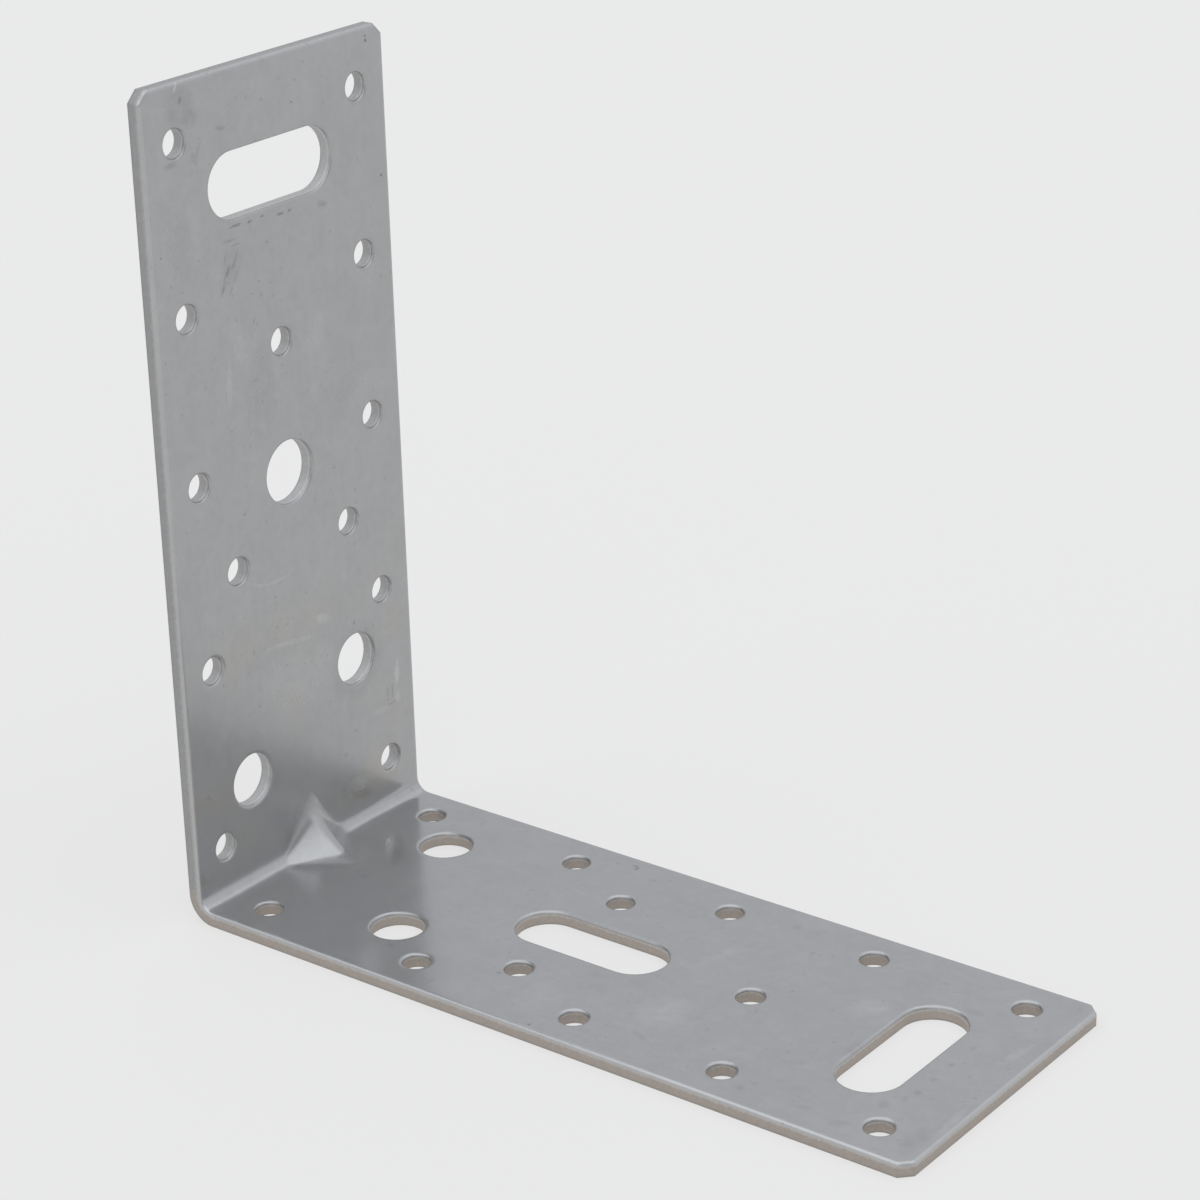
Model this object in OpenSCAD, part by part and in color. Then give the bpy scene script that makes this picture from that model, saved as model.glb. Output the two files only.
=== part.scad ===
// Angle bracket: one punched strip of sheet steel, folded once at a right angle,
// with a gusset pressed into the fold from outside.
// The origin is the middle of the base leg's footprint, on its outer face. The upright leg stands at -X.

/* [Legs] */
// Width of the strip
strip_w = 60; // [56:1:80]
// Thickness of the sheet
sheet_t = 2.5; // [2:0.1:3.5]
// Length of the base leg, from the outer face of the upright leg to its end
base_len = 150; // [140:1:220]
// Length of the upright leg, from the outer face of the base leg to its end
upright_len = 150; // [140:1:220]
// Inner radius of the fold
fold_r = 2.5; // [1.5:0.1:4]
// Size of the 45 degree cut at the corners of each leg end
corner_cut = 2; // [1:0.1:4]
// Radius of the rolled edge that the punch leaves on the inner face
roll_r = 0.4; // [0.2:0.05:0.6]

/* [Nail holes] */
// Diameter of the nail holes
nail_d = 5; // [3:0.1:6]
// Spacing across the strip of the nail hole pairs near its edges
nail_gauge = 45; // [42:0.5:49]
// First row of nail holes, from the fold's outer face
nail_first = 12; // [11:0.5:14]
// Spacing along the leg of the first three rows
nail_pitch = 34; // [30:0.5:35]
// Last row of nail holes, from the leg's end
nail_last = 10; // [7:0.5:14]
// Spacing along the leg of the last two rows
nail_end_pitch = 30; // [24:0.5:32]
// Single nail hole on the centre line, from the leg's end
nail_single = 50; // [46:0.5:52]
// Inner pair of nail holes, from the fold's outer face
nail_inner = 62; // [60:0.5:63]

/* [Bolt holes] */
// Diameter of the pair of bolt holes near the fold
bolt_d = 9.7; // [6:0.1:11]
// Spacing across the strip of the two bolt holes and of the inner nail holes
bolt_gauge = 29; // [27:0.5:31]
// Bolt hole nearer the fold, from the fold's outer face
bolt_near = 22; // [21:0.5:23]
// Bolt hole further from the fold, from the fold's outer face
bolt_far = 35; // [33:0.5:37]
// Diameter of the large bolt hole on the upright leg's centre line
large_d = 11.6; // [8:0.1:14]
// Large bolt hole, from the fold's outer face
large_at = 76; // [74:0.5:84]

/* [Slots] */
// Width of the slots
slot_w = 11.6; // [8:0.1:13]
// Length of the slots, end to end
slot_l = 30.6; // [24:0.1:36]
// Slot across each leg, from the leg's end to the slot's centre line
cross_slot_at = 20; // [16:0.5:24]
// Slot along the base leg, from the fold's outer face to its centre
long_slot_at = 66.6; // [65:0.1:74]

/* [Gusset] */
// Radius of the gusset's ridge, seen from the side
ridge_r = 13; // [10:0.1:16]
// Radius of the ridge's rounded top, seen along the ridge
ridge_top_r = 7; // [5:0.1:9]
// Angle between the gusset's flanks and the fold line
flank_angle = 40; // [30:1:50]
// How far the ridge's ends run out below the inner faces
ridge_fade = 0.1; // [0.05:0.01:0.3]

/* [Hidden] */
$fn = 96;
over = 1;                                  // how far the cutters reach past the faces
fold_at = sheet_t + fold_r;                // the fold's axis, from both outer faces
ridge_at = sheet_t + ridge_r - ridge_fade; // the ridge's axis, from both outer faces
flank_l = 2 * ridge_r;                     // flanks longer than the sheet around the fold is deep

// Rows of nail holes on a leg of length l, from the fold's outer face
function nail_rows(l) = concat(
    [for (i = [0 : 2]) nail_first + i * nail_pitch],
    [for (i = [0 : 1]) l - nail_last - i * nail_end_pitch]);

// What a rolled edge leaves out of a square corner at the origin, material on the lower left
module roll_corner() {
    difference() {
        translate([-roll_r, -roll_r]) square(roll_r + over);
        translate([-roll_r, -roll_r]) circle(roll_r);
        translate([-2 * roll_r, -2 * roll_r]) square([2 * roll_r, roll_r]);
        translate([-2 * roll_r, -2 * roll_r]) square([roll_r, 2 * roll_r]);
    }
}

// The strip's section: width along x, thickness along y, inner face on top
module strip_section() {
    difference() {
        translate([-strip_w / 2, 0]) square([strip_w, sheet_t]);
        translate([strip_w / 2, sheet_t]) roll_corner();
        mirror([1, 0]) translate([strip_w / 2, sheet_t]) roll_corner();
    }
}

// Revolves a section about the line across the strip at a height and depth of at,
// over the quarter turn between the two legs
module across_fold(at) {
    translate([at, 0, at])
        rotate([90, 0, 0])
            rotate([0, 0, 180])
                rotate_extrude(angle = 90) children();
}

// Half the section of a punched hole of radius r, with its rolled mouth
module punch_section(r) {
    translate([0, -over]) square([r, sheet_t + 2 * over]);
    translate([r, sheet_t]) mirror([1, 0]) roll_corner();
}

module punched_hole(d) {
    rotate_extrude() punch_section(d / 2);
}

// A slot along x: a straight middle and two half round ends
module punched_slot(l, w) {
    straight = l - w;
    for (turn = [0, 180])
        rotate([0, 0, turn]) {
            translate([straight / 2, 0, 0])
                rotate([0, 0, -90])
                    rotate_extrude(angle = 180) punch_section(w / 2);
            translate([-straight / 2, 0, 0])
                rotate([90, 0, 90])
                    linear_extrude(height = straight) punch_section(w / 2);
        }
}

// What the rolled edges and cut corners leave out of the end of a leg of length l
module leg_end(l) {
    cut_l = corner_cut * sqrt(2);
    translate([l, strip_w / 2 + over, sheet_t])
        rotate([90, 0, 0])
            linear_extrude(height = strip_w + 2 * over) roll_corner();
    for (side = [0, 1])
        mirror([0, side, 0])
            translate([l - corner_cut / 2, strip_w / 2 - corner_cut / 2, 0])
                rotate([0, 0, 45]) {
                    translate([0, -cut_l, -over]) cube([cut_l, 2 * cut_l, sheet_t + 2 * over]);
                    translate([0, cut_l, sheet_t])
                        rotate([90, 0, 0])
                            linear_extrude(height = 2 * cut_l) roll_corner();
                }
}

// Holes that both legs have; side is 1 where the near bolt hole lies towards +Y
module leg_holes(l, side) {
    for (s = nail_rows(l), y = [-1, 1])
        translate([s, y * nail_gauge / 2, 0]) punched_hole(nail_d);
    translate([l - nail_single, 0, 0]) punched_hole(nail_d);
    for (y = [-1, 1])
        translate([nail_inner, y * bolt_gauge / 2, 0]) punched_hole(nail_d);
    translate([bolt_near, side * bolt_gauge / 2, 0]) punched_hole(bolt_d);
    translate([bolt_far, -side * bolt_gauge / 2, 0]) punched_hole(bolt_d);
    translate([l - cross_slot_at, 0, 0])
        rotate([0, 0, 90]) punched_slot(slot_l, slot_w);
}

// One flat leg along x, from the fold to its end, with its outer face down
module leg(l, side) {
    difference() {
        translate([fold_at, 0, 0])
            rotate([90, 0, 90])
                linear_extrude(height = l - fold_at) strip_section();
        leg_end(l);
        leg_holes(l, side);
        children();
    }
}

// The flanks and rounded top of the gusset, a depth below its surface: depth towards x, width along y
module ridge_section(depth) {
    top_r = ridge_top_r - depth;
    reach = [sin(flank_angle), cos(flank_angle)] * flank_l;
    edge = [-cos(flank_angle), sin(flank_angle)] * top_r;
    translate([ridge_r + ridge_top_r, 0]) {
        circle(top_r);
        polygon([
            edge,
            edge + reach,
            [edge.x + reach.x, -edge.y - reach.y],
            [edge.x, -edge.y]]);
    }
}

// The fold with the sheet's full depth behind the gusset
module fold() {
    across_fold(fold_at)
        translate([fold_at, 0]) rotate(90) strip_section();
    intersection() {
        across_fold(ridge_at) ridge_section(0);
        rotate([90, 0, 0])
            translate([0, 0, -strip_w / 2])
                linear_extrude(height = strip_w)
                    union() {
                        translate([fold_at, 0]) square([ridge_at - fold_at, ridge_at]);
                        translate([0, fold_at]) square([ridge_at, ridge_at - fold_at]);
                        translate([fold_at, fold_at]) circle(fold_at);
                    }
    }
}

module bracket() {
    color("silver")
        translate([-base_len / 2, 0, 0])
            difference() {
                union() {
                    leg(base_len, 1)
                        translate([long_slot_at, 0, 0]) punched_slot(slot_l, slot_w);
                    mirror([1, 0, -1])
                        leg(upright_len, -1)
                            translate([large_at, 0, 0]) punched_hole(large_d);
                    fold();
                }
                across_fold(ridge_at) ridge_section(sheet_t);
            }
}

bracket();
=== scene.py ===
"""Looks for the angle bracket: its steel, a pale floor, soft studio light and the photograph's camera.

Lengths in the gusset's form and in the material are millimetres, from the outer faces of the two legs. On a
leg, along is the distance from the fold's outer face, and across is the distance along y.
"""

import math
from collections import namedtuple

import bmesh
import bpy
from mathutils import Matrix, Vector


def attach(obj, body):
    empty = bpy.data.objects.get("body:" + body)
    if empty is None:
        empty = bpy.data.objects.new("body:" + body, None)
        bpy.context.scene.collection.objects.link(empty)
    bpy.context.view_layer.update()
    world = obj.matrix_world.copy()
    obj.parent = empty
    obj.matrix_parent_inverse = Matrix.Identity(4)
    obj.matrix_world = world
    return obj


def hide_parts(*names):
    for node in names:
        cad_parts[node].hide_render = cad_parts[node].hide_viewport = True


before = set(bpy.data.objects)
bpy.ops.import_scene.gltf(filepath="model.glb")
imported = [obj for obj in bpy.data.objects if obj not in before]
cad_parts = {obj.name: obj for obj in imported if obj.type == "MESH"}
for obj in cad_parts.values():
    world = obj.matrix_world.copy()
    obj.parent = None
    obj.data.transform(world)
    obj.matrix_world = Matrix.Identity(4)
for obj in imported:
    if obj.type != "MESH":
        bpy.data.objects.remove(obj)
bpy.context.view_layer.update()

MM = 0.001
ROOT2 = math.sqrt(2)

# The bracket's own sizes, as in its source
HEEL_X = -75.0
SHEET = 2.5
FOLD_AT = 5.0
ROLL = 0.4

# The camera, fitted to the rims of the holes in the photograph
CAMERA_AT = (309.042, -405.837, 280.738)
CAMERA_RIGHT = (0.79705519, 0.6034287, -0.02401747)
CAMERA_UP = (-0.21417584, 0.31963759, 0.92301707)
CAMERA_LENS = 101.116
CAMERA_SENSOR = 36.0
# How near and how far it sees, in metres
CAMERA_NEAR = 0.01
CAMERA_FAR = 20

# The steel: a dull silvery rolled sheet, with a little colour from mill haze
SHEET_COLOUR = (0.407, 0.410, 0.413)
WARM_STAIN = (0.420, 0.411, 0.390)
SHEET_METAL = 0.8
SHEET_ROUGH = 0.19
# How much brighter the base leg's steel is painted than the upright's, as painted light for the brighter
# light it reflects, and how much duller the upright's is
BASE_PAINTED_LIGHT = 0.035
UPRIGHT_DULLER = 0.07
# Cut walls, torn towards the outer face and burnished towards the inner one
UPRIGHT_TORN = (0.400, 0.398, 0.396)
UPRIGHT_BURNISHED = (0.440, 0.438, 0.434)
BASE_TORN = (0.420, 0.374, 0.334)
BASE_BURNISHED = (0.470, 0.440, 0.412)
TORN_ROUGH = 0.60
BURNISHED_ROUGH = 0.38
WALL_METAL = 0.45
# How much brighter or duller the walls of the strip's edges and of the holes are, on each leg
UPRIGHT_EDGE_SHADE = 0.84
UPRIGHT_HOLE_SHADE = 1.14
BASE_EDGE_SHADE = 0.94
BASE_HOLE_SHADE = 0.99
# How much the ragged tear changes a wall's brightness
TEAR_SHADE = 0.16
# How strongly the marks show, and how much duller they are
MARK_STRENGTH = 1.5
MARK_ROUGH = 0.5
# How uneven the marks are, from their palest bits to their strongest
MARK_RAGGED = (0.60, 1.40)
# How far noise pushes the marks' rims about
MARK_PUSH = 0.30
# How much brighter the strip's rolled rims are painted: a painted highlight along them
RIM_PAINTED_HIGHLIGHT = 0.11
# How far the sheet's edges and creases look softened, and how finely that is sampled
SOFT_EDGE = 0.9
SOFT_SAMPLES = 8

# Kinds of noise: size, detail, roughness and distortion
CLOUD_NOISE = (16.0, 3.0, 0.55, 0.4)
PATCH_NOISE = (4.0, 3.0, 0.6, 0.8)
DAPPLE_NOISE = (1.3, 2.0, 0.5)
STREAK_NOISE = (1.6, 3.0, 0.6)
GRAIN_NOISE = (0.25, 2.0, 0.7)
SPECK_NOISE = (0.9, 1.0, 0.4)
STAIN_NOISE = (14.0, 2.0, 0.5)
RAGGED_NOISE = (2.2, 2.0, 0.5)
PUSH_NOISE = (0.8, 3.0, 0.6)
PULL_NOISE = (1.1, 3.0, 0.6)
TEAR_NOISE = (0.55, 3.0, 0.65)
WAVE_NOISE = (7.0, 1.0, 0.4)
# How much some of them are squeezed, so that they run along the strip
STREAK_SQUEEZE = (0.06, 1.0, 0.06)
GRAIN_SQUEEZE = (0.35, 1.0, 0.35)
WAVE_SQUEEZE = (0.6, 1.0, 0.6)
# How much they change the sheet's brightness
CLOUD_GAIN = 0.055
PATCH_GAIN = 0.070
DAPPLE_GAIN = 0.035
STREAK_GAIN = 0.030
GRAIN_GAIN = 0.040
SPECK_GAIN = -0.20
# How much clouds and patches change its roughness
HAZE_ROUGH = 0.020
# How high waves, grain, streaks and the wall's tear stand in the relief
WAVE_HEIGHT = 0.0022
GRAIN_HEIGHT = 0.00022
STREAK_HEIGHT = 0.0005
TEAR_HEIGHT = 0.030

# Where each mask starts and where it is full. Depth is through the sheet, from its outer face.
INSIDE_DEPTH = (SHEET - 0.25, SHEET - 0.05)
WALL_FOOT_DEPTH = (0.02, 0.08)
WALL_TOP_DEPTH = (SHEET - ROLL - 0.05, SHEET - ROLL - 0.25)
BURNISHED_DEPTH = (1.45, 1.75)
# How far the tear moves the border between the torn and the burnished wall
TEAR_REACH = 0.35
LEG_START = (FOLD_AT, FOLD_AT + 2)
LEG_THICKNESS = (4.0, 3.0)
GUSSET_ACROSS = (9.6, 9.4)
GUSSET_ALONG = (17.2, 17.0)
SIDE_EDGE = (29.2, 29.6)
END_RIM = (149.2, 149.6)
END_WALL = (147.0, 147.4)
# The base leg's side of the fold, by how much larger x is than z
BASE_SIDE = (-3.0, 3.0)
# Heights on the upright leg
STAIN_HEIGHT = (62.0, 40.0)
DULLER_HEIGHT = (5.0, 11.0)
# The same for noise, which goes from about -1 to 1
SPECK_PEAKS = (0.42, 0.62)
STAIN_PEAKS = (-0.1, 0.5)
RAGGED_SPAN = (-0.5, 0.5)

# The gusset's finer form, seen from its side and along its ridge. Distances are from the outer faces.
RIDGE_AT = 6.0
RIDGE_SIDE_R = 20.0
RIDGE_TOP_R = 3.5
FLANK = math.radians(31)
# The shallow tips that the ridge runs out into on both legs, and where they start
TIP_AT = 6.0
TIP_REACH = 14.2
TIP_SLOPE = math.tan(math.radians(4))
TIP_SPREAD = math.tan(math.radians(35))
# How widely the creases are rounded: inside the angle at the fold and at the tips, at the tips' own rim,
# and round the outer dent
CREASE_INSIDE = 0.5
CREASE_TIP = 1.5
CREASE_TIP_RIM = 0.1
CREASE_OUTSIDE = 0.9
# The zone round the gusset that is modelled anew, its cells, and the rim where it blends into the sheet
ZONE_HALF = 10.5
ZONE_REACH = 17.5
ZONE_CELL = 0.35
ZONE_RIM = 0.4
# How far to each side of a point its slope is measured
SLOPE_STEP = 0.02
# Points that are nearer to each other than this are one, in metres
WELD = 1e-7

# The light all round: its strength low down, how it grows towards +X, and its strength overhead
LIGHT_LOW = 0.81
LIGHT_SIDE = 0.16
LIGHT_OVERHEAD = 1.34
# The heights where it turns to the light overhead, and how they lean with y
LIGHT_RISE = (0.43, 0.88)
LIGHT_LEAN = -0.16
# How dim it is at the horizon, and the height where that ends
LIGHT_HORIZON = 0.80
LIGHT_HORIZON_RISE = (0.0, 0.35)
# A dimmer soft patch beyond the base leg's end: its direction and strength, and how near to that direction
# it starts and is full, as cosines
LIGHT_PATCH_AT = (0.900, -0.270, 0.340)
LIGHT_PATCH = 0.47
LIGHT_PATCH_REACH = (0.80, 1.0)
LIGHT_COLOUR = (0.975, 0.995, 1.03, 1.0)

# The floor: half its side and its drop below the bracket in metres, and its looks
FLOOR_HALF = 4.0
FLOOR_DROP = 0.02 * MM
FLOOR_COLOUR = (0.17, 0.17, 0.17, 1.0)
FLOOR_GLOW_COLOUR = (1.0, 0.997, 0.99, 1.0)
FLOOR_GLOW = 0.63

# Marks on a leg's inner face:
# along, across, half length, half width, turn in degrees, softness of the rim, change of brightness
UPRIGHT_MARKS = [
    # Corner cloud, the nick below the cut edge and smudges beside the top nail hole
    (145.8, -20.8, 4.4, 4.2, 20, 1.0, -0.06),
    (143.2, -18.6, 2.4, 2.0, 40, 1.0, -0.06),
    (149.2, -21.4, 1.2, 0.35, 25, 0.8, 0.20),
    (146.8, -20.6, 0.9, 0.4, 10, 0.8, -0.12),
    (136.6, -23.8, 0.7, 1.9, 0, 0.9, -0.10),
    (136.4, -18.2, 1.5, 1.1, -30, 0.9, -0.10),
    (138.2, -17.0, 1.8, 0.5, 30, 0.9, -0.07),
    (140.2, -11.5, 0.5, 1.8, 10, 0.9, -0.07),
    # Dirt under the slot's lower edge
    (123.0, -9.6, 0.3, 1.8, -4, 0.6, -0.22),
    (122.9, -6.0, 0.35, 0.8, 0, 0.7, -0.20),
    (123.1, -2.9, 0.3, 0.5, 0, 0.7, -0.16),
    (122.4, 1.6, 0.35, 1.1, 0, 0.7, -0.20),
    (122.4, 3.9, 0.3, 0.6, 0, 0.7, -0.18),
    (121.6, 12.2, 0.8, 1.7, 15, 1.0, -0.09),
    (120.8, -11.2, 0.3, 2.4, 2, 0.8, -0.10),
    (119.8, -9.8, 0.25, 1.6, -3, 0.8, -0.08),
    # Scuffed patch: slanting dark strokes
    (116.0, -11.2, 5.0, 2.8, 32, 1.0, -0.045),
    (117.2, -10.2, 2.4, 0.40, 32, 0.8, -0.10),
    (115.2, -12.4, 2.2, 0.45, 34, 0.8, -0.12),
    (112.9, -13.4, 1.8, 0.45, 30, 0.8, -0.13),
    (118.2, -12.4, 1.6, 0.35, 28, 0.8, -0.08),
    (114.6, -10.0, 1.9, 0.35, 30, 0.8, -0.09),
    (112.0, -11.6, 1.2, 0.35, 36, 0.8, -0.10),
    # Single dark specks
    (140.8, 6.0, 0.3, 0.35, 0, 0.5, -0.30),
    (147.5, 25.7, 0.4, 0.3, 0, 0.5, -0.34),
    (148.3, 25.6, 0.25, 0.3, 0, 0.5, -0.22),
    (123.0, 28.0, 0.35, 0.35, 0, 0.5, -0.30),
    (121.8, -27.5, 0.3, 0.3, 0, 0.5, -0.18),
    (138.6, 22.2, 0.3, 0.4, 0, 0.5, -0.16),
    (118.3, -2.1, 0.3, 0.5, 0, 0.6, -0.12),
    (106.7, -10.8, 0.5, 0.3, 0, 0.6, -0.12),
    (105.5, -6.6, 0.6, 0.25, 20, 0.6, -0.12),
    (109.6, -4.4, 0.6, 0.8, 20, 0.9, -0.07),
    (38.8, 2.5, 0.35, 0.6, 0, 0.6, -0.08),
    (42.3, 14.4, 0.6, 0.4, 0, 0.6, -0.10),
    (73.2, 11.4, 0.3, 0.5, 0, 0.6, -0.08),
    (71.9, -12.0, 0.25, 0.7, 10, 0.6, -0.10),
    (17.2, 10.3, 0.4, 0.8, -10, 0.8, -0.07),
    (9.6, 12.6, 2.6, 4.0, 0, 1.0, 0.08),
    (23.0, -26.2, 0.3, 0.8, 0, 0.7, -0.10),
    (35.3, -11.5, 0.4, 0.3, 0, 0.7, -0.08),
    # Long pale and dull streaks down the middle
    (96, -13.6, 5.5, 0.9, 4, 1.0, 0.05),
    (103, -11.0, 6.0, 2.2, -8, 1.0, 0.03),
    (92, -6.0, 12.0, 4.5, 6, 1.0, -0.035),
    (99, 8.5, 5.0, 3.0, 30, 1.0, 0.035),
    (88, 14.0, 9.0, 6.0, 40, 1.0, -0.025),
    (122, -23.0, 8.0, 4.0, 0, 1.0, -0.035),
    # The pale patch and its bright upper rim, with a painted highlight at the rim's right end
    (37, 0.0, 7.5, 12.5, 8, 1.0, 0.035),
    (44.2, -1.5, 0.7, 9.5, 8, 1.0, 0.05),
    # A painted highlight at the right end of the bright rim
    (46.0, 6.2, 1.3, 2.6, 12, 1.0, 0.075),
    # The dull ring round the bolt hole on the right
    (34.6, 14.5, 8.6, 8.6, 0, 0.8, -0.05),
    # Rubbed strip by the right edge
    (28.2, 25.4, 3.6, 0.8, 4, 1.0, 0.10),
    (23.6, 25.2, 1.6, 0.9, 0, 1.0, 0.07),
    (25.2, 23.9, 2.3, 0.3, 2, 0.7, -0.10),
    (24.6, 22.6, 2.0, 0.28, 3, 0.7, -0.10),
    (22.7, 23.8, 0.25, 1.7, 0, 0.7, -0.10),
    (22.3, 20.5, 1.0, 3.6, 6, 1.0, 0.05),
]
BASE_MARKS = [
    # Marks near the fold
    (12.4, 9.4, 0.6, 2.4, 35, 1.0, 0.22),
    (17.8, -3.6, 0.9, 0.6, 30, 0.7, -0.12),
    (22.0, -24.6, 0.35, 1.5, 0, 0.9, -0.08),
    (22.0, 25.2, 0.35, 1.0, 6, 0.7, -0.10),
    (38.5, -20.8, 1.2, 0.8, 0, 1.0, -0.08),
    (56.6, 26.6, 0.35, 0.8, 0, 0.6, -0.22),
    (55.9, 27.2, 0.8, 0.3, 20, 0.6, -0.22),
    (52.4, -27.0, 0.5, 2.4, 0, 0.9, -0.07),
    (60.3, -17.6, 0.6, 0.6, 0, 0.6, -0.12),
    (75.4, -28.6, 0.35, 0.6, 0, 0.5, -0.25),
    (104.9, 5.3, 0.35, 0.35, 0, 0.6, -0.10),
    (100.3, 18.1, 0.5, 0.8, 0, 0.8, -0.08),
    (103.6, -3.6, 0.5, 1.2, 15, 0.9, -0.06),
    # Soft dirty blots by the slot and the far corner
    (139.3, 0.0, 0.8, 0.9, 0, 1.0, -0.07),
    (139.5, 6.3, 0.8, 1.0, 0, 1.0, -0.05),
    (139.4, -5.6, 0.8, 1.0, 0, 1.0, -0.05),
    (139.5, -10.4, 0.9, 1.0, 0, 1.0, -0.07),
    (138.8, -13.2, 0.7, 1.3, 20, 1.0, -0.06),
    (137.0, -16.4, 1.2, 1.6, 30, 1.0, -0.06),
    (146.5, -23.0, 2.4, 5.5, 6, 1.0, -0.055),
    (134.2, -25.4, 2.0, 1.2, 30, 1.0, -0.05),
    (127.0, -24.4, 2.2, 0.9, 20, 1.0, -0.04),
    (115.2, -25.2, 1.4, 0.8, 0, 1.0, -0.08),
    (116.6, -22.8, 0.5, 1.2, -20, 1.0, -0.06),
    (123.4, -4.6, 1.2, 3.6, 0, 1.0, -0.04),
    (118.4, -13.4, 2.4, 1.2, 25, 1.0, -0.04),
    (133.5, 16.5, 2.6, 1.4, 0, 1.0, -0.04),
    (92.4, -21.2, 2.2, 0.8, -20, 1.0, -0.04),
    (90.0, 14.6, 1.2, 2.2, -25, 1.0, -0.045),
    (92.8, 25.0, 1.3, 1.6, 0, 1.0, -0.04),
    (97.0, 24.0, 1.6, 3.4, -14, 1.0, -0.035),
    (96.8, -11.0, 0.8, 2.8, -12, 1.0, -0.04),
    (83.0, 21.5, 1.2, 2.0, 0, 1.0, -0.03),
    # Pale rubbed patches
    (91.0, -13.0, 5.0, 7.5, 20, 1.0, 0.05),
    (118.6, 8.2, 3.4, 5.0, -25, 1.0, 0.05),
    (146.2, 8.5, 1.1, 6.5, -8, 1.0, 0.05),
    (87.8, 8.0, 1.6, 8.5, -16, 1.0, 0.03),
    (148.6, -16.0, 1.0, 7.0, 3, 1.0, 0.06),
    (71.0, -20.0, 5.0, 6.0, 0, 1.0, 0.025),
]
# The faint curved scratch on the upright leg: along and across, radius, width, and the blot it shows in
ARC_AT = (70.4, -5.15)
ARC_RADIUS = 13.4
ARC_WIDTH = 0.55
ARC_WINDOW = (57.6, -6.8, 4.0, 8.0)
ARC_GAIN = 0.05

# A point on the folded strip: x and z are its distances along the base and upright legs
Place = namedtuple("Place", "point x y z depth inside on_upright on_base")
# Mottling of the sheet: some of its noises, and the brightness that all of them add up to
Haze = namedtuple("Haze", "clouds patches streaks grain total")
# A sheared wall: its mask, its ragged noise, where it is burnished, and its colour
Wall = namedtuple("Wall", "mask tear burnished colour")


class Graph:
    """Short names for the few kinds of shader node that the materials and the light are made of."""

    def __init__(self, owner):
        owner.use_nodes = True
        self.tree = owner.node_tree
        self.tree.nodes.clear()

    def node(self, kind, inputs=None, **settings):
        made = self.tree.nodes.new(kind)
        for name, value in settings.items():
            setattr(made, name, value)
        for key, value in (inputs or {}).items():
            self.feed(made.inputs[key], value)
        return made

    def feed(self, socket, value):
        if isinstance(value, bpy.types.NodeSocket):
            self.tree.links.new(value, socket)
        else:
            socket.default_value = value

    def math(self, operation, a, b=0.0, c=0.0):
        return self.node("ShaderNodeMath", {0: a, 1: b, 2: c}, operation=operation).outputs[0]

    def product(self, *values):
        result = values[0]
        for value in values[1:]:
            result = self.math("MULTIPLY", result, value)
        return result

    def vector(self, operation, a, b=(0.0, 0.0, 0.0)):
        return self.node("ShaderNodeVectorMath", {0: a, 1: b}, operation=operation)

    def scaled(self, vector, scale):
        return self.vector("MULTIPLY", vector, scale).outputs["Vector"]

    def dimmed(self, colour, scale):
        made = self.vector("SCALE", colour)
        self.feed(made.inputs["Scale"], scale)
        return made.outputs["Vector"]

    def join(self, x, y, z=0.0):
        return self.node("ShaderNodeCombineXYZ", {0: x, 1: y, 2: z}).outputs[0]

    def split(self, vector):
        return self.node("ShaderNodeSeparateXYZ", {0: vector}).outputs

    def step(self, value, start, end, low=0.0, high=1.0):
        """Goes smoothly from low to high as the value goes from start to end."""
        made = self.node(
            "ShaderNodeMapRange",
            {"Value": value, "From Min": start, "From Max": end, "To Min": low, "To Max": high},
            interpolation_type="SMOOTHSTEP",
        )
        return made.outputs["Result"]

    def noise(self, vector, size, detail, roughness, distortion=0.0):
        """Noise around zero, from about -1 to 1, with features of the given size in mm."""
        made = self.node(
            "ShaderNodeTexNoise",
            {
                "Vector": vector,
                "Scale": 1.0 / size,
                "Detail": detail,
                "Roughness": roughness,
                "Distortion": distortion,
            },
        )
        return self.math("MULTIPLY_ADD", made.outputs["Fac"], 2.0, -1.0)

    def mix(self, factor, a, b):
        """A colour between a and b."""
        made = self.node("ShaderNodeMix", data_type="RGBA")
        self.feed(made.inputs[0], factor)
        for socket, value in ((made.inputs[6], a), (made.inputs[7], b)):
            self.feed(socket, value if isinstance(value, bpy.types.NodeSocket) else (*value, 1.0))
        return made.outputs[2]

    def blend(self, factor, a, b):
        """A number between a and b."""
        return self.node("ShaderNodeMix", {0: factor, 2: a, 3: b}, data_type="FLOAT").outputs[0]

    def blot(self, plane, along, across, long, wide, turn, soft):
        """An ellipse on a leg: 1 at its middle, 0 outside, with a rim that is softer for a larger soft.

        The plane's third coordinate has to be 1, so that a dot product also takes off the middle's place.
        """
        c = math.cos(math.radians(turn))
        s = math.sin(math.radians(turn))
        u_axis = (c / long, s / long, -(c * along + s * across) / long)
        v_axis = (-s / wide, c / wide, (s * along - c * across) / wide)
        u = self.vector("DOT_PRODUCT", plane, u_axis).outputs["Value"]
        v = self.vector("DOT_PRODUCT", plane, v_axis).outputs["Value"]
        reach = self.math("MULTIPLY_ADD", v, v, self.math("MULTIPLY", u, u))
        return self.step(reach, 1.0, (1.0 - soft) ** 2)


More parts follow.
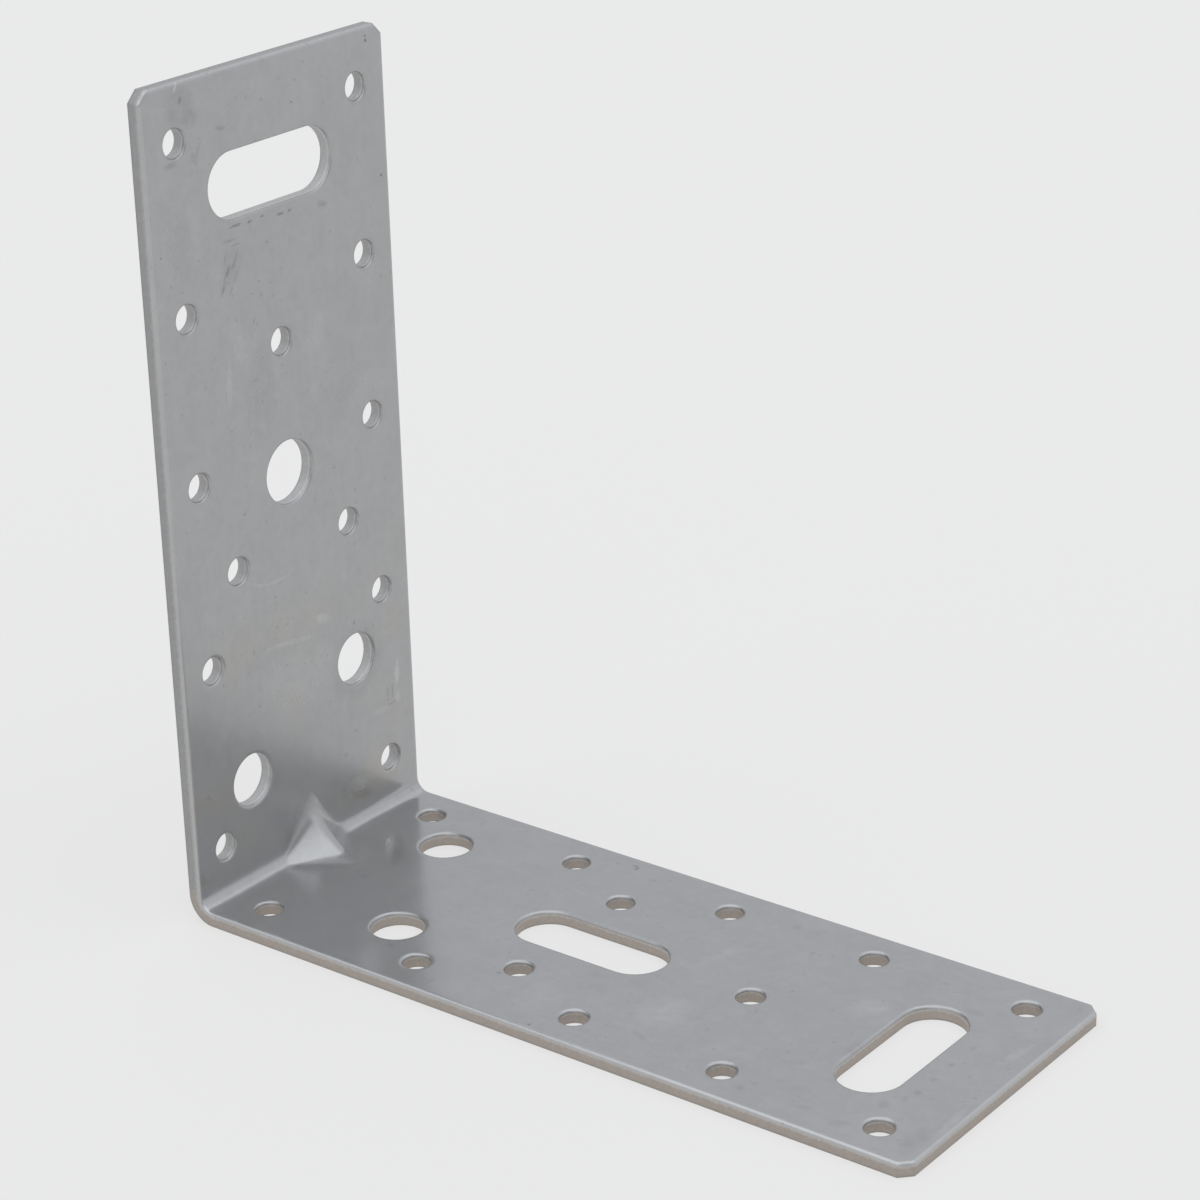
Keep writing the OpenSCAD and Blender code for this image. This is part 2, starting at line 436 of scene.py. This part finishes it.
def find_place(g):
    """Where a point is on the folded strip, and the masks for the inner face and for each leg."""
    coords = g.node("ShaderNodeTexCoord").outputs["Object"]
    point = g.scaled(coords, (1 / MM, 1 / MM, 1 / MM))
    point = g.vector("ADD", point, (-HEEL_X, 0.0, 0.0)).outputs["Vector"]
    x, y, z = g.split(point)
    short_x = g.math("MAXIMUM", g.math("SUBTRACT", FOLD_AT, x), 0.0)
    short_z = g.math("MAXIMUM", g.math("SUBTRACT", FOLD_AT, z), 0.0)
    fall = g.vector("LENGTH", g.join(short_x, short_z)).outputs["Value"]
    depth = g.math("SUBTRACT", FOLD_AT, fall)
    inside = g.step(depth, *INSIDE_DEPTH)
    on_upright = g.product(g.step(z, *LEG_START), g.step(x, *LEG_THICKNESS))
    on_base = g.product(g.step(x, *LEG_START), g.step(z, *LEG_THICKNESS))
    return Place(point, x, y, z, depth, inside, on_upright, on_base)


def strip_edge(g, at, end):
    """A mask for the strip's long edges and for a band at the ends of its legs."""
    return g.math(
        "MAXIMUM",
        g.step(g.math("ABSOLUTE", at.y), *SIDE_EDGE),
        g.step(g.math("MAXIMUM", at.x, at.z), *end),
    )


def marks(g, plane, table):
    """The summed change of brightness that a table of marks makes on one leg."""
    total = 0.0
    for along, across, long, wide, turn, soft, change in table:
        spot = g.blot(plane, along, across, long, wide, turn, soft)
        total = g.math("MULTIPLY_ADD", spot, change, total)
    return total


def arc_scratch(g, plane):
    """A faint curved scratch: a ring seen only inside a soft window."""
    away = g.vector("DISTANCE", plane, (*ARC_AT, 1.0)).outputs["Value"]
    off = g.math("ABSOLUTE", g.math("SUBTRACT", away, ARC_RADIUS))
    line = g.step(off, ARC_WIDTH, 0.0)
    window = g.blot(plane, *ARC_WINDOW, 0, 1.0)
    return g.product(line, window, ARC_GAIN)


def all_marks(g, at):
    """All marks, on leg planes that are pushed about a little so that no rim is a clean curve."""
    push = g.math("MULTIPLY", g.noise(at.point, *PUSH_NOISE), MARK_PUSH)
    pull = g.math("MULTIPLY", g.noise(at.point, *PULL_NOISE), MARK_PUSH)
    pushed_y = g.math("ADD", at.y, push)
    upright_plane = g.join(g.math("ADD", at.z, pull), pushed_y, 1.0)
    base_plane = g.join(g.math("ADD", at.x, pull), pushed_y, 1.0)
    upright = g.math("ADD", marks(g, upright_plane, UPRIGHT_MARKS), arc_scratch(g, upright_plane))
    upright = g.product(upright, at.on_upright, at.inside)
    base = g.product(marks(g, base_plane, BASE_MARKS), at.on_base, at.inside)
    ragged = g.step(g.noise(at.point, *RAGGED_NOISE), *RAGGED_SPAN, *MARK_RAGGED)
    return g.product(g.math("ADD", upright, base), ragged)


def mill_haze(g, at):
    """Mottling of the sheet: clouds, patches and dapples, streaks along the strip, and fine grain."""
    clouds = g.noise(at.point, *CLOUD_NOISE)
    patches = g.noise(at.point, *PATCH_NOISE)
    dapples = g.noise(at.point, *DAPPLE_NOISE)
    streaks = g.noise(g.scaled(at.point, STREAK_SQUEEZE), *STREAK_NOISE)
    grain = g.noise(g.scaled(at.point, GRAIN_SQUEEZE), *GRAIN_NOISE)
    gains = (
        (clouds, CLOUD_GAIN),
        (patches, PATCH_GAIN),
        (dapples, DAPPLE_GAIN),
        (streaks, STREAK_GAIN),
        (grain, GRAIN_GAIN),
    )
    total = 1.0
    for part, gain in gains:
        total = g.math("MULTIPLY_ADD", part, gain, total)
    return Haze(clouds, patches, streaks, grain, total)


def sheet_colour(g, at, haze, change):
    """The sheet's faces: haze, specks, marks, a painted highlight on the rims, painted light that brightens
    the base leg, and warm stains low on the upright leg.
    """
    specks = g.step(g.noise(at.point, *SPECK_NOISE), *SPECK_PEAKS)
    bright = g.math("MULTIPLY_ADD", specks, SPECK_GAIN, haze.total)
    bright = g.math("MULTIPLY_ADD", change, MARK_STRENGTH, bright)
    # Painted highlight along the strip's rolled rims
    bright = g.math("MULTIPLY_ADD", strip_edge(g, at, END_RIM), RIM_PAINTED_HIGHLIGHT, bright)
    # Painted light: the base leg's faces are painted brighter than the upright's
    base_painted_light = g.step(g.math("SUBTRACT", at.x, at.z), *BASE_SIDE, 1.0, 1.0 + BASE_PAINTED_LIGHT)
    bright = g.math("MULTIPLY", bright, base_painted_light)
    stain = g.product(
        g.step(g.noise(at.point, *STAIN_NOISE), *STAIN_PEAKS),
        g.step(at.z, *STAIN_HEIGHT),
        at.on_upright,
    )
    return g.dimmed(g.mix(stain, SHEET_COLOUR, WARM_STAIN), bright)


def sheet_roughness(g, at, haze, change):
    """Nearly even on the sheet, duller where it is marked and on the upright leg above the fold."""
    rough = g.math("MULTIPLY_ADD", haze.clouds, HAZE_ROUGH, SHEET_ROUGH)
    rough = g.math("MULTIPLY_ADD", haze.patches, HAZE_ROUGH, rough)
    rough = g.math("MULTIPLY_ADD", g.math("ABSOLUTE", change), MARK_ROUGH, rough)
    duller = g.product(g.step(at.z, *DULLER_HEIGHT, 0.0, UPRIGHT_DULLER), at.on_upright)
    return g.math("ADD", rough, duller)


def sheared_wall(g, at):
    """Walls of holes and edges: torn towards the outer face, burnished below the rolled mouth."""
    near_gusset = g.product(
        g.step(g.math("ABSOLUTE", at.y), *GUSSET_ACROSS),
        g.step(at.x, *GUSSET_ALONG),
        g.step(at.z, *GUSSET_ALONG),
    )
    mask = g.product(
        g.step(at.depth, *WALL_FOOT_DEPTH),
        g.step(at.depth, *WALL_TOP_DEPTH),
        g.math("SUBTRACT", 1.0, near_gusset),
    )
    tear = g.noise(at.point, *TEAR_NOISE)
    burnished = g.step(g.math("MULTIPLY_ADD", tear, TEAR_REACH, at.depth), *BURNISHED_DEPTH)
    colour = g.mix(
        burnished,
        g.mix(at.on_upright, BASE_TORN, UPRIGHT_TORN),
        g.mix(at.on_upright, BASE_BURNISHED, UPRIGHT_BURNISHED),
    )
    edge_shade = g.step(at.on_upright, 0.0, 1.0, BASE_EDGE_SHADE, UPRIGHT_EDGE_SHADE)
    hole_shade = g.step(at.on_upright, 0.0, 1.0, BASE_HOLE_SHADE, UPRIGHT_HOLE_SHADE)
    shade = g.blend(strip_edge(g, at, END_WALL), hole_shade, edge_shade)
    shade = g.math("MULTIPLY", g.math("MULTIPLY_ADD", tear, TEAR_SHADE, 1.0), shade)
    return Wall(mask, tear, burnished, g.dimmed(colour, shade))


def relief(g, at, haze, wall):
    """Softened edges, with faint waves of the rolled sheet, its streaks and grain, and the torn wall."""
    waves = g.noise(g.scaled(at.point, WAVE_SQUEEZE), *WAVE_NOISE)
    height = g.math("MULTIPLY", waves, WAVE_HEIGHT)
    height = g.math("MULTIPLY_ADD", haze.grain, GRAIN_HEIGHT, height)
    height = g.math("MULTIPLY_ADD", haze.streaks, STREAK_HEIGHT, height)
    height = g.math("ADD", height, g.product(wall.tear, wall.mask, TEAR_HEIGHT))
    softened = g.node("ShaderNodeBevel", {"Radius": SOFT_EDGE * MM}, samples=SOFT_SAMPLES).outputs[0]
    bump = g.node(
        "ShaderNodeBump",
        {"Strength": 1.0, "Distance": MM, "Height": height, "Normal": softened},
    )
    return bump.outputs[0]


def steel_material():
    """Rolled sheet steel with mill haze, rubbed marks and specks, painted highlights, painted light on the
    base leg, and brown sheared walls.
    """
    material = bpy.data.materials.new("steel_sheet")
    g = Graph(material)
    at = find_place(g)
    change = all_marks(g, at)
    haze = mill_haze(g, at)
    wall = sheared_wall(g, at)
    colour = g.mix(wall.mask, sheet_colour(g, at, haze, change), wall.colour)
    wall_rough = g.step(wall.burnished, 0.0, 1.0, TORN_ROUGH, BURNISHED_ROUGH)
    rough = g.blend(wall.mask, sheet_roughness(g, at, haze, change), wall_rough)
    metal = g.step(wall.mask, 0.0, 1.0, SHEET_METAL, WALL_METAL)
    normal = relief(g, at, haze, wall)
    surface = g.node(
        "ShaderNodeBsdfPrincipled",
        {"Base Color": colour, "Roughness": rough, "Metallic": metal, "Normal": normal},
    )
    g.node("ShaderNodeOutputMaterial", {"Surface": surface.outputs[0]})
    return material


def soft_max(a, b, width):
    """The larger of two heights, rounded where they meet."""
    near = max(width - abs(a - b), 0.0) / width
    return max(a, b) + near * near * width / 4


def plain_height(u, depth):
    """Height of the folded sheet's plain face at a depth in from its outer face."""
    radius = FOLD_AT - depth
    if abs(u) < radius / ROOT2:
        return FOLD_AT * ROOT2 - math.sqrt(radius**2 - u**2)
    return abs(u) + depth * ROOT2


def ridge_height(u, y, depth):
    """Height of the gusset's ridge and flanks, at a depth below its inner surface."""
    top_r = RIDGE_TOP_R - depth
    seam = top_r * math.sin(FLANK)
    rise = math.sqrt(top_r**2 - min(abs(y), seam) ** 2)
    fall = max(abs(y) - seam, 0.0) * math.tan(FLANK)
    radius = RIDGE_SIDE_R + RIDGE_TOP_R - rise + fall
    return RIDGE_AT * ROOT2 + RIDGE_SIDE_R - math.sqrt(radius**2 - u**2)


def tip_height(u, y):
    """Height of the shallow tips that the ridge runs out into."""
    left = TIP_REACH - SHEET - abs(u) * ROOT2
    half = max(left, 0.001) * TIP_SPREAD
    rise = max(left, 0.0) * TIP_SLOPE * max(1.0 - (y / half) ** 2, 0.0)
    return plain_height(u, SHEET) + rise * ROOT2


def inner_height(u, y):
    """Height of the inner face, with the gusset standing on it."""
    sheet = soft_max(plain_height(u, SHEET), tip_height(u, y), CREASE_TIP_RIM)
    crease = CREASE_INSIDE + (CREASE_TIP - CREASE_INSIDE) * min(abs(u) / TIP_AT, 1.0)
    return soft_max(sheet, ridge_height(u, y, 0.0), crease)


def outer_height(u, y):
    """Height of the outer face, with the dent that the press left behind the gusset."""
    return soft_max(plain_height(u, 0.0), ridge_height(u, y, SHEET), CREASE_OUTSIDE)


def zone_share(point):
    """How far a point is taken to the finer form: 1 inside the zone, 0 at its rim and outside."""
    x, y, z = point.x / MM - HEEL_X, point.y / MM, point.z / MM
    across = (ZONE_HALF - abs(y)) / ZONE_RIM
    along = (ZONE_REACH - max(x, z)) / ZONE_RIM
    return min(max(min(across, along), 0.0), 1.0)


def fold_coordinates(point):
    """A point's u from leg to leg, y across the strip, and height on the line halfway between the legs."""
    x = point.x / MM - HEEL_X
    z = point.z / MM
    return (x - z) / ROOT2, point.y / MM, (x + z) / ROOT2


def fold_normal(height, u, y):
    """Which way a face with this height looks, out of the sheet on the inner side."""
    slope_u = (height(u + SLOPE_STEP, y) - height(u - SLOPE_STEP, y)) / (2 * SLOPE_STEP)
    slope_y = (height(u, y + SLOPE_STEP) - height(u, y - SLOPE_STEP)) / (2 * SLOPE_STEP)
    normal = Vector(((1 - slope_u) / ROOT2, -slope_y, (1 + slope_u) / ROOT2))
    return normal.normalized()


def cut(mesh, faces, point, normal):
    """Cuts some faces of a mesh along a plane and returns the faces that they become."""
    parts = set(faces)
    parts.update(edge for face in faces for edge in face.edges)
    parts.update(vert for face in faces for vert in face.verts)
    made = bmesh.ops.bisect_plane(mesh, geom=list(parts), dist=WELD, plane_co=point, plane_no=normal)
    return [part for part in made["geom"] if isinstance(part, bmesh.types.BMFace)]


def cut_zone(mesh):
    """Cuts the mesh into small cells round the gusset and returns those faces."""
    across = Vector((0, 1, 0))
    slant = Vector((1, 0, -1)).normalized()
    heel = Vector((HEEL_X * MM, 0, 0))

    for axis in (Vector((1, 0, 0)), Vector((0, 0, 1))):
        cut(mesh, mesh.faces, heel + axis * ZONE_REACH * MM, axis)
    middles = {face: face.calc_center_median() - heel for face in mesh.faces}
    faces = [face for face, middle in middles.items() if max(middle.x, middle.z) < ZONE_REACH * MM]
    for side in (-1, 1):
        faces = cut(mesh, faces, across * side * ZONE_HALF * MM, across)
    faces = [face for face in faces if abs(face.calc_center_median().y) < ZONE_HALF * MM]

    rows = int(ZONE_HALF / ZONE_CELL)
    columns = int(ZONE_REACH / ROOT2 / ZONE_CELL)
    for row in range(-rows, rows + 1):
        faces = cut(mesh, faces, across * row * ZONE_CELL * MM, across)
    for column in range(-columns, columns + 1):
        faces = cut(mesh, faces, heel + slant * column * ZONE_CELL * MM, slant)
    return bmesh.ops.triangulate(mesh, faces=faces)["faces"]


def shape_gusset(mesh, keep):
    """Moves the small cells round the gusset to its finer form and keeps the normals in step."""
    faces = cut_zone(mesh)
    mesh.normal_update()
    up = Vector((1, 0, 1)).normalized()
    inner = {face: face.normal.dot(up) > 0 for face in faces}
    moves = {}
    for face in faces:
        height = inner_height if inner[face] else outer_height
        for loop in face.loops:
            vert = loop.vert
            u, y, old = fold_coordinates(vert.co)
            share = zone_share(vert.co)
            moves[vert] = up * (height(u, y) - old) * MM * share
            normal = fold_normal(height, u, y)
            if not inner[face]:
                normal = -normal
            loop[keep] = Vector(loop[keep]).lerp(normal, share)
    for vert, move in moves.items():
        vert.co += move


def gusset_mesh(source):
    """A copy of the CAD node's mesh with the gusset in its finer form and smooth normals."""
    data = source.copy()
    corners = [value for corner in data.corner_normals for value in corner.vector]
    data.attributes.new("keep", "FLOAT_VECTOR", "CORNER").data.foreach_set("vector", corners)
    mesh = bmesh.new()
    mesh.from_mesh(data)
    bmesh.ops.remove_doubles(mesh, verts=mesh.verts, dist=WELD)
    shape_gusset(mesh, mesh.loops.layers.float_vector["keep"])
    mesh.to_mesh(data)
    mesh.free()
    data.shade_smooth()
    normals = [tuple(value.vector) for value in data.attributes["keep"].data]
    data.attributes.remove(data.attributes["keep"])
    data.normals_split_custom_set(normals)
    return data


def make_bracket():
    """The bracket with its gusset in finer form, which stands for the CAD node."""
    data = gusset_mesh(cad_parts["bracket"].data)
    data.materials.clear()
    data.materials.append(steel_material())
    piece = bpy.data.objects.new("bracket_steel", data)
    bpy.context.scene.collection.objects.link(piece)
    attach(piece, "root")
    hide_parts("bracket")


def make_floor():
    """A plain pale floor, level with the base leg's outer face."""
    half = FLOOR_HALF
    mesh = bpy.data.meshes.new("floor")
    corners = [(-half, -half, 0), (half, -half, 0), (half, half, 0), (-half, half, 0)]
    mesh.from_pydata(corners, [], [(0, 1, 2, 3)])
    floor = bpy.data.objects.new("floor", mesh)
    floor.location.z = -FLOOR_DROP
    bpy.context.scene.collection.objects.link(floor)
    material = bpy.data.materials.new("floor")
    g = Graph(material)
    surface = g.node(
        "ShaderNodeBsdfPrincipled",
        {
            "Base Color": FLOOR_COLOUR,
            "Roughness": 0.9,
            "Specular IOR Level": 0.1,
            "Emission Color": FLOOR_GLOW_COLOUR,
            "Emission Strength": FLOOR_GLOW,
        },
    )
    g.node("ShaderNodeOutputMaterial", {"Surface": surface.outputs[0]})
    mesh.materials.append(material)


def make_light():
    """Soft studio light: a pale surround with no lamp in it, brighter overhead and towards +X."""
    world = bpy.data.worlds.new("studio")
    bpy.context.scene.world = world
    g = Graph(world)
    way = g.node("ShaderNodeTexCoord").outputs["Generated"]
    x, y, z = g.split(way)
    low = g.math("MULTIPLY_ADD", x, LIGHT_SIDE, LIGHT_LOW)
    facing = g.vector("DOT_PRODUCT", way, LIGHT_PATCH_AT).outputs["Value"]
    patch = g.step(facing, *LIGHT_PATCH_REACH, 1.0, LIGHT_PATCH)
    horizon = g.step(z, *LIGHT_HORIZON_RISE, LIGHT_HORIZON, 1.0)
    low = g.product(low, patch, horizon)
    high = g.step(g.math("MULTIPLY_ADD", y, LIGHT_LEAN, z), *LIGHT_RISE)
    strength = g.blend(high, low, LIGHT_OVERHEAD)
    background = g.node("ShaderNodeBackground", {"Color": LIGHT_COLOUR, "Strength": strength})
    g.node("ShaderNodeOutputWorld", {"Surface": background.outputs[0]})


def make_camera():
    """The photograph's camera."""
    data = bpy.data.cameras.new("camera")
    data.sensor_fit = "HORIZONTAL"
    data.sensor_width = CAMERA_SENSOR
    data.lens = CAMERA_LENS
    data.clip_start = CAMERA_NEAR
    data.clip_end = CAMERA_FAR
    camera = bpy.data.objects.new("camera", data)
    right = Vector(CAMERA_RIGHT)
    up = Vector(CAMERA_UP)
    back = right.cross(up)
    turn = Matrix((right, up, back)).transposed().to_4x4()
    camera.matrix_world = Matrix.Translation(Vector(CAMERA_AT) * MM) @ turn
    bpy.context.scene.collection.objects.link(camera)
    bpy.context.scene.camera = camera


make_bracket()
make_floor()
make_light()
make_camera()
bpy.context.scene.view_settings.view_transform = "Standard"
